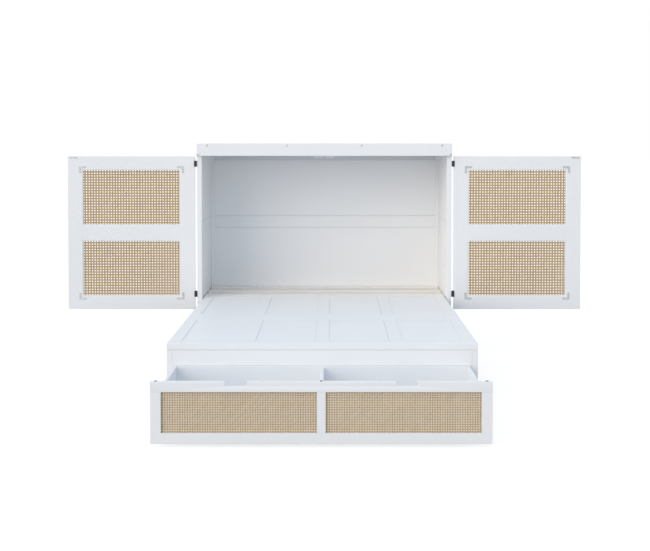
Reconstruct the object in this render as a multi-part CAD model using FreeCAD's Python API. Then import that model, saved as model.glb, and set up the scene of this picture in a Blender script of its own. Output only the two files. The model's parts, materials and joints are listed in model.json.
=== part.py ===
import FreeCAD, Part
import math
import os

# Wall bed in the opened-out position, in millimetres.
# X runs across the bed, +Y towards the wall and +Z up. While a piece is modelled, y = 0 is the front plane
# of the cabinet; save() then centres the whole bed on its footprint.

# Cabinet
cabinet_width = 1640.0
cabinet_height = 1375.0
cabinet_depth = 570.0
side_thickness = 30.0
top_thickness = 28.0
back_thickness = 18.0
back_floor_gap = 40.0
board_split_height = 870.0
mid_rail_height = 83.0
batten_size = 20.0
fascia_height = 79.0
fascia_rail_depth = 22.0
board_ease = 1.0

# Wall fixing holes in the middle back rail
wall_hole_spacing = 1200.0
wall_hole_radius = 4.0

# Glides under the side walls
glide_size = 26.0
glide_height = 10.0
glide_inset = 40.0

# Doors
door_thickness = 20.0
door_bottom_height = 305.0
door_top_gap = 3.0
door_centre_gap = 2.0
door_reveal = 2.5
door_stile = 92.0
door_end_rail = 84.0
door_mid_rail = 96.0

# Cane windows
cane_thickness = 3.0
cane_recess = 8.0
cane_net_pitch = 76.0
cane_strand_width = 27.0
cane_lip = 6.0
bead_width = 6.0
bead_setback = 2.0

# Door hardware
hinge_barrel_radius = 7.0
hinge_pin_radius = 3.0
hinge_leaf = 2.0
hinge_length = 38.0
hinge_cabinet_leaf_reach = 32.0
hinge_lip = 5.0
hinge_top_drop = 48.0
hinge_bottom_rise = 100.0
bracket_arm = 45.0
bracket_width = 13.0
bracket_thickness = 1.5
bracket_offset = 27.0
strike_length = 50.0
strike_height = 10.0
strike_thickness = 2.0
strike_edge_gap = 12.0
strike_top_gap = 3.0
catch_width = 40.0
catch_height = 24.0
catch_depth = 16.0

# Fascia corner plates
corner_plate_width = 17.0
corner_plate_height = 13.0
corner_plate_thickness = 1.0

# Slats inside the cabinet
slat_count = 3
slat_width = 90.0
slat_thickness = 20.0
slat_end_gap = 6.0
ledger_gauge = 3.0
ledger_flange = 33.0
ledger_leg = 40.0

# Deck
deck_top = 377.0
deck_thickness = 30.0
deck_side_gap = 8.0
deck_rear_end = 96.0
deck_reach = 1504.0
deck_end_rail = 70.0
deck_fold_rail = 105.0
deck_outer_stile = 65.0
deck_inner_stile = 70.0
deck_panel_count = 4
deck_panel_thickness = 12.0
deck_panel_recess = 2.0
deck_panel_tongue = 8.0
fold_gap = 0.6

# Deck pivots and fold hinges
pivot_radius = 6.0
pivot_depth = 40.0
pivot_side_depth = 15.0
pivot_swing_room = 5.0
fold_hinge_radius = 3.5
fold_hinge_pin_radius = 1.75
fold_hinge_length = 90.0
fold_hinge_reach = 34.0
fold_hinge_end_inset = 137.0
fold_knuckles = 3
door_knuckles = 3
knuckle_gap = 0.5
knuckle_room = 0.6

# Rolling base
base_depth = 510.0
base_side = 28.0
base_front_rail = 28.0
base_front_rail_height = 77.0
base_back_board = 15.0
base_back_floor_gap = 60.0
base_pass_gap = 0.7
pad_width = 16.0
pad_length = 40.0
pad_end_inset = 60.0
pad_rail_x = 400.0

# Casters
caster_height = 46.0
wheel_radius = 18.0
wheel_width = 15.0
axle_radius = 3.0
fork_gauge = 2.5
fork_length = 44.0
fork_side_gap = 0.5
caster_end_inset = 70.0

# Drawer
drawer_front_side_gap = 11.0
drawer_front_bottom = 17.0
drawer_door_gap = 3.0
drawer_front_thickness = 20.0
drawer_front_rail = 49.0
drawer_front_stile = 49.0
drawer_centre_stile = 40.0
drawer_closed_gap = 1.0
drawer_travel = 484.0
drawer_box_bottom = 52.0
drawer_pass_gap = 0.8
drawer_side = 12.0
drawer_back = 12.0
drawer_inner_front = 9.0
drawer_bottom = 8.0
drawer_bottom_rise = 10.0
drawer_bottom_groove = 5.0
drawer_divider = 16.0
drawer_divider_drop = 6.0
drawer_rear_room = 15.0
notch_width = 105.0
notch_depth = 23.0
notch_corner = 4.0
cap_radius = 7.0
cap_height = 2.0

# Drawer slides
slide_width = 12.7
slide_height = 45.0
slide_gauge = 1.2
slide_gap = 0.5
slide_end_gap = 5.0
slide_centre_height = 150.0

# Fits
running_fit = 0.05
rest_gap = 0.3

# Places worked out from the sizes above
half_width = cabinet_width / 2
inner_half = half_width - side_thickness
back_face = cabinet_depth - back_thickness
top_underside = cabinet_height - top_thickness
fascia_bottom = cabinet_height - fascia_height
fascia_thickness = door_reveal + door_thickness
mid_rail_bottom = board_split_height - mid_rail_height

door_top_height = fascia_bottom - door_top_gap
door_width = half_width - door_centre_gap / 2
hinge_x = half_width + hinge_barrel_radius
door_near_edge = hinge_x + hinge_barrel_radius
door_far_edge = door_near_edge + door_width
door_inner_face = door_reveal
door_outer_face = door_reveal + door_thickness
hinge_heights = [door_bottom_height + hinge_bottom_rise, door_top_height - hinge_top_drop]

deck_half = inner_half - deck_side_gap
deck_underside = deck_top - deck_thickness
pivot_inset = deck_thickness / 2
pivot_y = deck_rear_end - pivot_inset
pivot_z = deck_top - deck_thickness / 2
section_length = (pivot_y + deck_reach) / 2
fold_y = pivot_y - section_length
fold_hinge_x = deck_half - fold_hinge_end_inset - fold_hinge_length / 2
fold_hinge_places = [-fold_hinge_x, 0, fold_hinge_x]

ledger_front = pivot_y + math.hypot(pivot_inset, deck_thickness / 2) + pivot_swing_room
slat_underside = deck_top - slat_thickness
slat_half = inner_half - slat_end_gap

base_front = -deck_reach
base_back = base_front + base_depth
base_top = deck_underside - fold_hinge_radius - base_pass_gap
base_inner_half = deck_half - base_side

drawer_front_half = inner_half - drawer_front_side_gap
drawer_front_top = door_bottom_height - drawer_door_gap
drawer_face = base_front - drawer_closed_gap - drawer_front_thickness - drawer_travel
drawer_cane_face = drawer_face + cane_recess
drawer_box_front = drawer_face + drawer_front_thickness
drawer_box_depth = base_depth - base_back_board - drawer_rear_room
drawer_box_back = drawer_box_front + drawer_box_depth
drawer_box_half = base_inner_half - slide_width
drawer_box_top = base_top - base_front_rail_height - drawer_pass_gap
slide_length = drawer_box_depth - 2 * slide_end_gap

footprint_shift = -(drawer_face + cabinet_depth) / 2


def box(x0, x1, y0, y1, z0, z1):
    """A plain block between its limits, given in either order."""
    corner = FreeCAD.Vector(min(x0, x1), min(y0, y1), min(z0, z1))
    return Part.makeBox(abs(x1 - x0), abs(y1 - y0), abs(z1 - z0), corner)


def board(x0, x1, y0, y1, z0, z1):
    """A sawn board whose four long edges are eased."""
    solid = box(x0, x1, y0, y1, z0, z1)
    longest = max(edge.Length for edge in solid.Edges)
    long_edges = [edge for edge in solid.Edges if edge.Length > longest - board_ease]
    return solid.makeChamfer(board_ease, long_edges[:4])


def rod(radius, length, x, y, z, axis):
    """A round bar from a point along an axis."""
    return Part.makeCylinder(radius, length, FreeCAD.Vector(x, y, z), FreeCAD.Vector(*axis))


def mirrored(shape):
    """The same piece on the other side of the bed's centre plane."""
    return shape.mirror(FreeCAD.Vector(0, 0, 0), FreeCAD.Vector(1, 0, 0))


def pair(shapes):
    """Pieces of the right side together with their mirror images."""
    return shapes + [mirrored(shape) for shape in shapes]


def save(name, shapes):
    """Write one node, with the whole bed centred on its footprint."""
    solids = [solid for shape in shapes for solid in shape.Solids]
    group = Part.makeCompound(solids)
    group.translate(FreeCAD.Vector(0, footprint_shift, 0))
    group.exportStep("parts/" + name + ".step")


def rectangle(x0, x1, z0, z1, y):
    """A closed upright outline facing along Y."""
    corners = [(x0, z0), (x1, z0), (x1, z1), (x0, z1), (x0, z0)]
    return Part.makePolygon([FreeCAD.Vector(x, y, z) for x, z in corners])


def cane_net(x0, x1, z0, z1, y):
    """A cane sheet as one holed face: strands left between even square gaps."""
    columns = round((x1 - x0) / cane_net_pitch)
    rows = round((z1 - z0) / cane_net_pitch)
    pitch_x = (x1 - x0) / columns
    pitch_z = (z1 - z0) / rows
    rim = cane_strand_width / 2
    outlines = [rectangle(x0, x1, z0, z1, y)]
    for column in range(columns):
        left = x0 + column * pitch_x
        for row in range(rows):
            low = z0 + row * pitch_z
            outlines.append(rectangle(left + rim, left + pitch_x - rim, low + rim, low + pitch_z - rim, y))
    face = Part.makeFace(outlines, "Part::FaceMakerCheese")
    return face.extrude(FreeCAD.Vector(0, cane_thickness, 0))


def knuckle_span(index, count, length):
    """Start and end of one knuckle along its hinge."""
    size = (length - (count - 1) * knuckle_gap) / count
    start = index * (size + knuckle_gap)
    return start, start + size


def hinge_half(radius, length, count, first, plate_start, reach):
    """One leaf with every second knuckle, not bored yet. The pin axis is Z and the leaf reaches along +Y.

    plate_start is where the leaf's thickness begins along X, seen from the pin axis.
    """
    plate_end = plate_start + hinge_leaf
    near = radius + knuckle_room
    leaf = box(plate_start, plate_end, near, reach, 0, length)
    for index in range(first, count, 2):
        start, end = knuckle_span(index, count, length)
        barrel = rod(radius, end - start, 0, 0, start, (0, 0, 1))
        lug = box(plate_start, plate_end, 0, near, start, end)
        leaf = leaf.fuse([barrel, lug])
    return leaf.removeSplitter()


def hinge_pin(radius, length):
    """A hinge's pin, or the bore for it, along Z from the hinge's lower end."""
    return rod(radius, length, 0, 0, 0, (0, 0, 1))


def make_cabinet_shell():
    """Side walls, top, fascia, back and the rail that carries the catches."""
    pivot_hole = rod(pivot_radius, pivot_side_depth, inner_half, pivot_y, pivot_z, (1, 0, 0))
    lower = board(inner_half, half_width, 0, cabinet_depth, glide_height, board_split_height).cut(pivot_hole)
    upper = board(inner_half, half_width, 0, cabinet_depth, board_split_height, top_underside)
    save("right_side_boards", [lower, upper])
    save("left_side_boards", [mirrored(lower), mirrored(upper)])

    top = board(-half_width, half_width, 0, cabinet_depth, top_underside, cabinet_height)
    fascia = board(-half_width, half_width, -fascia_thickness, 0, fascia_bottom, cabinet_height)
    plate = box(half_width - corner_plate_width, half_width,
                -fascia_thickness - corner_plate_thickness, -fascia_thickness,
                fascia_bottom + board_ease, fascia_bottom + board_ease + corner_plate_height)
    save("top_panel", [top])
    save("top_fascia", [fascia])
    save("fascia_fasteners", pair([plate]))

    save("fascia_rail", [board(-inner_half, inner_half, 0, fascia_rail_depth, fascia_bottom, top_underside)])
    catch_x = door_centre_gap / 2 + strike_edge_gap + strike_length / 2
    catch = box(catch_x - catch_width / 2, catch_x + catch_width / 2,
                0, catch_depth, fascia_bottom - catch_height, fascia_bottom)
    face_edges = [edge for edge in catch.Edges if edge.CenterOfMass.y < catch_depth / 4]
    save("magnetic_catches", pair([catch.makeChamfer(board_ease, face_edges)]))

    low = board(-inner_half, inner_half, back_face, cabinet_depth, back_floor_gap, mid_rail_bottom)
    high = board(-inner_half, inner_half, back_face, cabinet_depth, board_split_height, top_underside)
    save("back_boards", [low, high])
    rail = board(-inner_half, inner_half, back_face, cabinet_depth, mid_rail_bottom, board_split_height)
    wall_hole_z = mid_rail_bottom + mid_rail_height / 2
    for x in (-wall_hole_spacing / 2, wall_hole_spacing / 2):
        rail = rail.cut(rod(wall_hole_radius, back_thickness, x, back_face, wall_hole_z, (0, 1, 0)))
    save("back_mid_rail", [rail])
    batten = board(inner_half - batten_size, inner_half, back_face - batten_size, back_face,
                   deck_top + rest_gap, top_underside)
    save("corner_battens", pair([batten]))

    glide_x = half_width - side_thickness / 2
    glides = []
    for y in (glide_inset, cabinet_depth - glide_inset):
        glide = box(glide_x - glide_size / 2, glide_x + glide_size / 2,
                    y - glide_size / 2, y + glide_size / 2, 0, glide_height)
        floor_edges = [edge for edge in glide.Edges if edge.CenterOfMass.z < glide_height / 4]
        glides.append(glide.makeChamfer(board_ease, floor_edges))
    save("glides", pair(glides))


def make_slats():
    """Loose-laid slats on a steel angle along each side wall, and the pivots of the deck."""
    flange = box(inner_half - ledger_flange, inner_half, ledger_front, back_face,
                 slat_underside - ledger_gauge, slat_underside)
    leg = box(inner_half - ledger_gauge, inner_half, ledger_front, back_face,
              slat_underside - ledger_leg, slat_underside)
    save("slat_ledgers", pair([flange.fuse(leg).removeSplitter()]))

    first = ledger_front + slat_end_gap
    last = back_face - slat_end_gap - slat_width
    for index in range(slat_count):
        y = first + (last - first) * index / (slat_count - 1)
        slat = board(-slat_half, slat_half, y, y + slat_width, slat_underside, deck_top)
        save("slat_" + str(index + 1), [slat])

    pin_start = deck_half - pivot_depth
    pin = rod(pivot_radius, inner_half + pivot_side_depth - pin_start, pin_start, pivot_y, pivot_z, (1, 0, 0))
    save("deck_pivot_pins", pair([pin]))


def hinge_frame(shape, height, side):
    """Set a door hinge piece on its pin axis. side is 1 on the right and -1 on the left."""
    placed = shape.copy()
    placed.translate(FreeCAD.Vector(hinge_x, 0, height - hinge_length / 2))
    return placed if side > 0 else mirrored(placed)


def make_door_hinges():
    """Fixed leaves with their riveted pins. Returns the moving leaf on its pin axis."""
    fixed = hinge_half(hinge_barrel_radius, hinge_length, door_knuckles, 0,
                       -hinge_barrel_radius, hinge_cabinet_leaf_reach)
    fixed = fixed.fuse(hinge_pin(hinge_pin_radius, hinge_length)).removeSplitter()
    pieces = [hinge_frame(fixed, height, side) for side in (1, -1) for height in hinge_heights]
    save("door_hinge_leaves", pieces)

    moving = hinge_half(hinge_barrel_radius, hinge_length, door_knuckles, 1,
                        hinge_barrel_radius - hinge_leaf, door_outer_face)
    moving = moving.cut(hinge_pin(hinge_pin_radius + running_fit, hinge_length))
    clear = hinge_barrel_radius + knuckle_room
    lip = box(clear, hinge_barrel_radius + hinge_lip, rest_gap, door_inner_face, 0, hinge_length)
    start, end = knuckle_span(1, door_knuckles, hinge_length)
    tie = box(hinge_barrel_radius - hinge_leaf, clear, rest_gap, door_inner_face, start, end)
    return moving.fuse([lip, tie]).removeSplitter()


def corner_bracket(x, z, toward_x, toward_z):
    """An L plate on the door's inner face, with its outer corner at x, z."""
    face = door_inner_face
    proud = face - bracket_thickness
    along = box(x, x + toward_x * bracket_arm, proud, face, z, z + toward_z * bracket_width)
    upright = box(x, x + toward_x * bracket_width, proud, face, z, z + toward_z * bracket_arm)
    return along.fuse(upright).removeSplitter()


def make_doors():
    """Framed doors swung right back, their inner faces to the front.

    Each window is rebated from the inner face: the cane lies against the lip left at the outer face, and
    beads hold it there.
    """
    moving_leaf = make_door_hinges()
    low = door_bottom_height
    high = door_top_height
    near = door_near_edge
    far = door_far_edge
    front = door_inner_face
    rear = door_outer_face
    left = near + door_stile
    right = far - door_stile
    window_height = (high - low - 2 * door_end_rail - door_mid_rail) / 2
    window_lows = [low + door_end_rail, high - door_end_rail - window_height]
    cane_y = front + cane_recess
    shoulder = cane_y + cane_thickness
    rebates = [box(left, right, front, shoulder, z, z + window_height) for z in window_lows]
    mid_low = window_lows[0] + window_height
    rails = [board(left, right, front, rear, low, window_lows[0] + cane_lip),
             board(left, right, front, rear, mid_low - cane_lip, window_lows[1] + cane_lip),
             board(left, right, front, rear, high - door_end_rail - cane_lip, high)]
    rails = [rail.cut(rebates) for rail in rails]
    stiles = [board(near, left + cane_lip, front, rear, low, high),
              board(right - cane_lip, far, front, rear, low, high)]
    rail_zones = [box(left, right, front, rear, rail.BoundBox.ZMin, rail.BoundBox.ZMax) for rail in rails]
    stiles = [stile.cut(rebates + rail_zones) for stile in stiles]

    canes = []
    beads = []
    for z in window_lows:
        top = z + window_height
        canes.append(cane_net(left, right, z, top, cane_y))
        bead_y = front + bead_setback
        beads.append(box(left, right, bead_y, cane_y, z, z + bead_width))
        beads.append(box(left, right, bead_y, cane_y, top - bead_width, top))
        for x in (left, right - bead_width):
            beads.append(box(x, x + bead_width, bead_y, cane_y, z + bead_width, top - bead_width))

    reach = bracket_offset - bead_width
    window_bottom = window_lows[0]
    window_top = window_lows[1] + window_height
    brackets = [corner_bracket(left - reach, window_bottom - reach, 1, 1),
                corner_bracket(right + reach, window_bottom - reach, -1, 1),
                corner_bracket(left - reach, window_top + reach, 1, -1),
                corner_bracket(right + reach, window_top + reach, -1, -1)]
    strike_end = far - strike_edge_gap
    strike_z = high - strike_top_gap
    strike = box(strike_end - strike_length, strike_end, front - strike_thickness, front,
                 strike_z - strike_height, strike_z)

    leaves = [hinge_frame(moving_leaf, height, 1) for height in hinge_heights]
    groups = {"stiles": stiles, "rails": rails, "cane": canes, "cane_beads": beads,
              "brackets": brackets, "strike_plate": [strike], "hinges": leaves}
    for name, shapes in groups.items():
        save("right_door_" + name, shapes)
        save("left_door_" + name, [mirrored(shape) for shape in shapes])


def fold_leaf(toward, centre):
    """One leaf of a fold hinge, let into the underside. toward is 1 to the rear and -1 to the front.

    The rear leaf carries the riveted pin, which runs in the front leaf's knuckle.
    """
    first = 0 if toward > 0 else 1
    leaf = hinge_half(fold_hinge_radius, fold_hinge_length, fold_knuckles, first, 0, fold_hinge_reach)
    if toward > 0:
        leaf = leaf.fuse(hinge_pin(fold_hinge_pin_radius, fold_hinge_length)).removeSplitter()
    else:
        leaf = leaf.cut(hinge_pin(fold_hinge_pin_radius + running_fit, fold_hinge_length))
        leaf = leaf.mirror(FreeCAD.Vector(0, 0, 0), FreeCAD.Vector(0, 1, 0))
    leaf.rotate(FreeCAD.Vector(0, 0, 0), FreeCAD.Vector(0, 1, 0), -90)
    leaf.translate(FreeCAD.Vector(centre + fold_hinge_length / 2, fold_y, deck_underside))
    return leaf


def heel_waste():
    """What is cut from the lower rear edge, so that it turns about the pivots without dropping."""
    corner = box(-deck_half, deck_half, pivot_y, deck_rear_end, deck_underside, pivot_z)
    return corner.cut(rod(pivot_inset, 2 * deck_half, -deck_half, pivot_y, pivot_z, (1, 0, 0)))


def make_deck_section(name, rear, front, rear_rail, front_rail, toward):
    """A framed deck section between two edges along Y, its panels in grooves of the frame.

    toward points from its fold edge into it.
    """
    rails = {1: board(-deck_half, deck_half, rear - rear_rail, rear, deck_underside, deck_top),
             -1: board(-deck_half, deck_half, front, front + front_rail, deck_underside, deck_top)}
    fold_side = -toward
    for centre in fold_hinge_places:
        start = centre - fold_hinge_length / 2
        room = fold_hinge_radius + knuckle_room
        groove = box(start, start + fold_hinge_length, fold_y - room, fold_y + room,
                     deck_underside, deck_underside + room)
        bed = box(start, start + fold_hinge_length, fold_y, fold_y + toward * fold_hinge_reach,
                  deck_underside, deck_underside + hinge_leaf)
        rails[fold_side] = rails[fold_side].cut(groove).cut(bed)
    if toward > 0:
        bore_radius = pivot_radius + running_fit
        bore = rod(bore_radius, pivot_depth, deck_half - pivot_depth, pivot_y, pivot_z, (1, 0, 0))
        rails[1] = rails[1].cut(bore).cut(mirrored(bore)).cut(heel_waste())

    stile_front = front + front_rail
    stile_rear = rear - rear_rail
    inner_stiles = deck_panel_count - 1
    clear_width = 2 * deck_half - 2 * deck_outer_stile - inner_stiles * deck_inner_stile
    panel_width = clear_width / deck_panel_count
    stiles = [board(-deck_half, -deck_half + deck_outer_stile, stile_front, stile_rear,
                    deck_underside, deck_top)]
    panels = []
    panel_top = deck_top - deck_panel_recess
    tongue = deck_panel_tongue
    x = -deck_half + deck_outer_stile
    for index in range(deck_panel_count):
        panels.append(box(x - tongue, x + panel_width + tongue, stile_front - tongue, stile_rear + tongue,
                          panel_top - deck_panel_thickness, panel_top))
        x += panel_width
        width = deck_inner_stile if index < inner_stiles else deck_outer_stile
        stiles.append(board(x, x + width, stile_front, stile_rear, deck_underside, deck_top))
        x += width
    save(name + "_rails", [rail.cut(panels) for rail in rails.values()])
    save(name + "_stiles", [stile.cut(panels) for stile in stiles])
    save(name + "_panels", panels)


def make_deck():
    """The two deck sections and the hinges that join their undersides at the fold."""
    half_gap = fold_gap / 2
    make_deck_section("rear_deck", deck_rear_end, fold_y + half_gap, deck_end_rail, deck_fold_rail, 1)
    make_deck_section("front_deck", fold_y - half_gap, -deck_reach, deck_fold_rail, deck_end_rail, -1)
    save("rear_deck_fold_hinges", [fold_leaf(1, centre) for centre in fold_hinge_places])
    save("front_deck_fold_hinges", [fold_leaf(-1, centre) for centre in fold_hinge_places])


def make_wheel(x, y):
    """A caster wheel, bored for an axle along X."""
    start = x - wheel_width / 2
    tread = rod(wheel_radius, wheel_width, start, y, wheel_radius, (1, 0, 0))
    return tread.cut(rod(axle_radius + running_fit, wheel_width, start, y, wheel_radius, (1, 0, 0)))


def make_fork(x, y):
    """A caster housing: top plate, two tapered cheeks and the axle."""
    inner = wheel_width / 2 + fork_side_gap
    outer = inner + fork_gauge
    plate = box(x - outer, x + outer, y - fork_length / 2, y + fork_length / 2,
                caster_height - fork_gauge, caster_height)
    foot = 2 * axle_radius
    profile = [(-fork_length / 2, caster_height - fork_gauge), (fork_length / 2, caster_height - fork_gauge),
               (foot, wheel_radius - foot), (-foot, wheel_radius - foot),
               (-fork_length / 2, caster_height - fork_gauge)]
    housing = plate
    for start in (x - outer, x + inner):
        outline = Part.makePolygon([FreeCAD.Vector(start, y + along, z) for along, z in profile])
        housing = housing.fuse(Part.Face(outline).extrude(FreeCAD.Vector(fork_gauge, 0, 0)))
    return housing.fuse(rod(axle_radius, 2 * outer, x - outer, y, wheel_radius, (1, 0, 0))).removeSplitter()


def make_rolling_base():
    """The box on casters that carries the front of the deck and holds the drawer."""
    side = board(base_inner_half, deck_half, base_front, base_back, caster_height, base_top)
    save("base_sides", pair([side]))
    rail = board(-base_inner_half, base_inner_half, base_front, base_front + base_front_rail,
                 base_top - base_front_rail_height, base_top)
    save("base_front_rail", [rail])
    back = board(-base_inner_half, base_inner_half, base_back - base_back_board, base_back,
                 base_back_floor_gap, base_top)
    save("base_back_board", [back])

    pad_top = deck_underside - rest_gap
    side_x = deck_half - base_side / 2
    pads = []
    for y in (base_front + pad_end_inset, base_back - pad_end_inset):
        pads.append(box(side_x - pad_width / 2, side_x + pad_width / 2,
                        y - pad_length / 2, y + pad_length / 2, base_top, pad_top))
    rail_y = base_front + base_front_rail / 2
    pads.append(box(pad_rail_x - pad_length / 2, pad_rail_x + pad_length / 2,
                    rail_y - pad_width / 2, rail_y + pad_width / 2, base_top, pad_top))
    save("deck_rest_pads", pair(pads))

    forks = []
    for label, y in (("front", base_front + caster_end_inset), ("rear", base_back - caster_end_inset)):
        forks.append(make_fork(side_x, y))
        wheel = make_wheel(side_x, y)
        save("right_" + label + "_wheel", [wheel])
        save("left_" + label + "_wheel", [mirrored(wheel)])
    save("caster_forks", pair(forks))


def slide_member(web_x, lip_x, half_height, y):
    """A channel of one slide: web on one side, lips turned towards the other."""
    low = slide_centre_height - half_height
    high = slide_centre_height + half_height
    inward = slide_gauge if lip_x > web_x else -slide_gauge
    web = box(web_x, web_x + inward, y, y + slide_length, low, high)
    bottom_lip = box(web_x, lip_x, y, y + slide_length, low, low + slide_gauge)
    top_lip = box(web_x, lip_x, y, y + slide_length, high - slide_gauge, high)
    return web.fuse([bottom_lip, top_lip]).removeSplitter()


def make_slides():
    """Three nested channels a side, drawn out to full extension."""
    outer_half = slide_height / 2
    step = slide_gauge + slide_gap
    outer_y = base_front + slide_end_gap
    lip_room = slide_width - step
    outer = slide_member(base_inner_half, base_inner_half - lip_room, outer_half, outer_y)
    save("slide_outer_members", pair([outer]))
    middle = slide_member(base_inner_half - step, base_inner_half - lip_room, outer_half - step,
                          outer_y - drawer_travel / 2)
    save("slide_middle_members", pair([middle]))
    inner = slide_member(drawer_box_half, base_inner_half - 2 * step, outer_half - 2 * step,
                         outer_y - drawer_travel)
    save("slide_inner_members", pair([inner]))


def drawer_rebate(front, back):
    """What the rebate behind the right-hand drawer window takes up between two depths."""
    return box(drawer_centre_stile / 2 - cane_lip, drawer_front_half - drawer_front_stile + cane_lip,
               front, back, drawer_front_bottom + drawer_front_rail - cane_lip,
               drawer_front_top - drawer_front_rail + cane_lip)


def make_drawer_front():
    """Front frame with finger notches in its top rail and a cane window each side.

    The windows are rebated from behind, and the cane lies in the rebates.
    """
    face = drawer_face
    back = drawer_box_front
    half = drawer_front_half
    top = drawer_front_top
    top_rail = board(-half, half, face, back, top - drawer_front_rail, top)
    notch = box(half / 2 - notch_width / 2, half / 2 + notch_width / 2, face, back, top - notch_depth, top)
    floor_edges = [edge for edge in notch.Edges
                   if edge.CenterOfMass.z < top - notch_depth / 2 and edge.Length < notch_width / 2]
    notch = notch.makeFillet(notch_corner, floor_edges)
    top_rail = top_rail.cut(notch).cut(mirrored(notch))
    bottom_rail = board(-half, half, face, back, drawer_front_bottom, drawer_front_bottom + drawer_front_rail)

    low = drawer_front_bottom + drawer_front_rail
    high = top - drawer_front_rail
    centre = drawer_centre_stile / 2
    stiles = pair([board(half - drawer_front_stile, half, face, back, low, high)])
    stiles.append(board(-centre, centre, face, back, low, high))
    rebate = drawer_rebate(drawer_cane_face, back)
    rebates = pair([rebate])
    save("drawer_front_top_rail", [top_rail.cut(rebates)])
    save("drawer_front_frame", [member.cut(rebates) for member in [bottom_rail] + stiles])
    sheet = rebate.BoundBox
    save("drawer_cane", pair([cane_net(sheet.XMin, sheet.XMax, sheet.ZMin, sheet.ZMax, drawer_cane_face)]))

    cap_x = half - drawer_front_stile / 2
    cap_y = face + drawer_front_thickness / 2
    caps = [rod(cap_radius, cap_height, x, cap_y, top, (0, 0, 1)) for x in (-cap_x, 0, cap_x)]
    save("drawer_bolt_caps", caps)


def make_drawer_box():
    """Box behind the drawer front: bottom in grooves all round, and a divider down the middle.

    The inner front holds a backing panel in each rebate, up against the cane.
    """
    front = drawer_box_front
    back = drawer_box_back
    half = drawer_box_half
    inside = half - drawer_side
    floor_low = drawer_box_bottom + drawer_bottom_rise
    floor_top = floor_low + drawer_bottom
    start = front + drawer_inner_front
    end = back - drawer_back
    groove = drawer_bottom_groove
    floor = box(-inside - groove, inside + groove, start - groove, end + groove, floor_low, floor_top)
    save("drawer_bottom", [floor])

    side = board(inside, half, front, back, drawer_box_bottom, drawer_box_top)
    save("drawer_sides", pair([side.cut(floor)]))
    inner_front = board(-inside, inside, front, start, drawer_box_bottom, drawer_box_top)
    backing = drawer_rebate(drawer_cane_face + cane_thickness, front)
    save("drawer_inner_front", [inner_front.cut(floor)] + pair([backing]))
    rear = board(-inside, inside, end, back, drawer_box_bottom, drawer_box_top)
    save("drawer_back", [rear.cut(floor)])
    divider = board(-drawer_divider / 2, drawer_divider / 2, start, end,
                    floor_top, drawer_box_top - drawer_divider_drop)
    save("drawer_divider", [divider])


os.makedirs("parts", exist_ok=True)
make_cabinet_shell()
make_slats()
make_doors()
make_deck()
make_rolling_base()
make_slides()
make_drawer_front()
make_drawer_box()
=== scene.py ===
import json
import math
import random

import bpy
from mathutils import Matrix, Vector


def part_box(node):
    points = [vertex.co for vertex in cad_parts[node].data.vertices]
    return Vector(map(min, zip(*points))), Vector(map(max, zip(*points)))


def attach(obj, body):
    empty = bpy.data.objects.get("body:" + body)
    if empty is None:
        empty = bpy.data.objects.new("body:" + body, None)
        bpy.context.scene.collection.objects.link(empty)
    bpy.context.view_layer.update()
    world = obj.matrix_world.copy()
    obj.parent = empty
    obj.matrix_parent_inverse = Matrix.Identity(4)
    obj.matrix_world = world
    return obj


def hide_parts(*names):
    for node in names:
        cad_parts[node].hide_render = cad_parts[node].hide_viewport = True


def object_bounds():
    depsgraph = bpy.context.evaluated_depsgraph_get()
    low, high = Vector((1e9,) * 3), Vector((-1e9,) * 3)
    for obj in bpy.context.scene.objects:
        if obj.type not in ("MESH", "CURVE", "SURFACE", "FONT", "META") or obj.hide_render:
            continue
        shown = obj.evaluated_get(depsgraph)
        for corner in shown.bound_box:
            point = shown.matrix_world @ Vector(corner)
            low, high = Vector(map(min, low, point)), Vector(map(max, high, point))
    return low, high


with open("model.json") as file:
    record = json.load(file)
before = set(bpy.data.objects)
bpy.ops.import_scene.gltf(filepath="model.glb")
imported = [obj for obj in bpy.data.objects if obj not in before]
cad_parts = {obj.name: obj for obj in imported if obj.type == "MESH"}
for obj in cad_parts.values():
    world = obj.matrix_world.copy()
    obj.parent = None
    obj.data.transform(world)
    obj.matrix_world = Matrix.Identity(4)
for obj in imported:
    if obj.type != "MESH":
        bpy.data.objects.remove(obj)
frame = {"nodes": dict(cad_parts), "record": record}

cad_box = [list(corner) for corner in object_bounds()]
nodes = frame["nodes"]

# Edges and solids, in metres and radians
MILLIMETRE = 0.001
edge_round = 0.5 * MILLIMETRE
edge_angle = math.radians(35)
edge_segments = 2
block_segments = 3
flat_angle = math.radians(0.5)
weld_distance = 0.02 * MILLIMETRE
same_spot_decimals = 5

# Cane weave: whole meshes across and up each sheet, and strands as shares of a mesh
door_cane_columns = 36
door_cane_rows = 21
drawer_cane_columns = 63
drawer_cane_rows = 18
door_strand_share = 0.215
drawer_strand_share = 0.15
door_strand_tones = (0.0, 0.6)
# The drawer's strands take the paler tones: partly the drawer cane's own paler colour, partly painted light
# that makes up for the shade on the board behind the weave
drawer_strand_tones_with_painted_light = (0.5, 1.0)
pair_offset_strands = 0.7
diagonal_width_strands = 0.79
strand_thickness_share = 0.03
strand_crown_share = 0.6
weave_layers = 5.2
diagonal_layer = 2
least_diagonal_meshes = 0.5
strand_wrap = (0, 1, 1.6, 1.3)
longest_run_start = 10
cane_seed = 11

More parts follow.
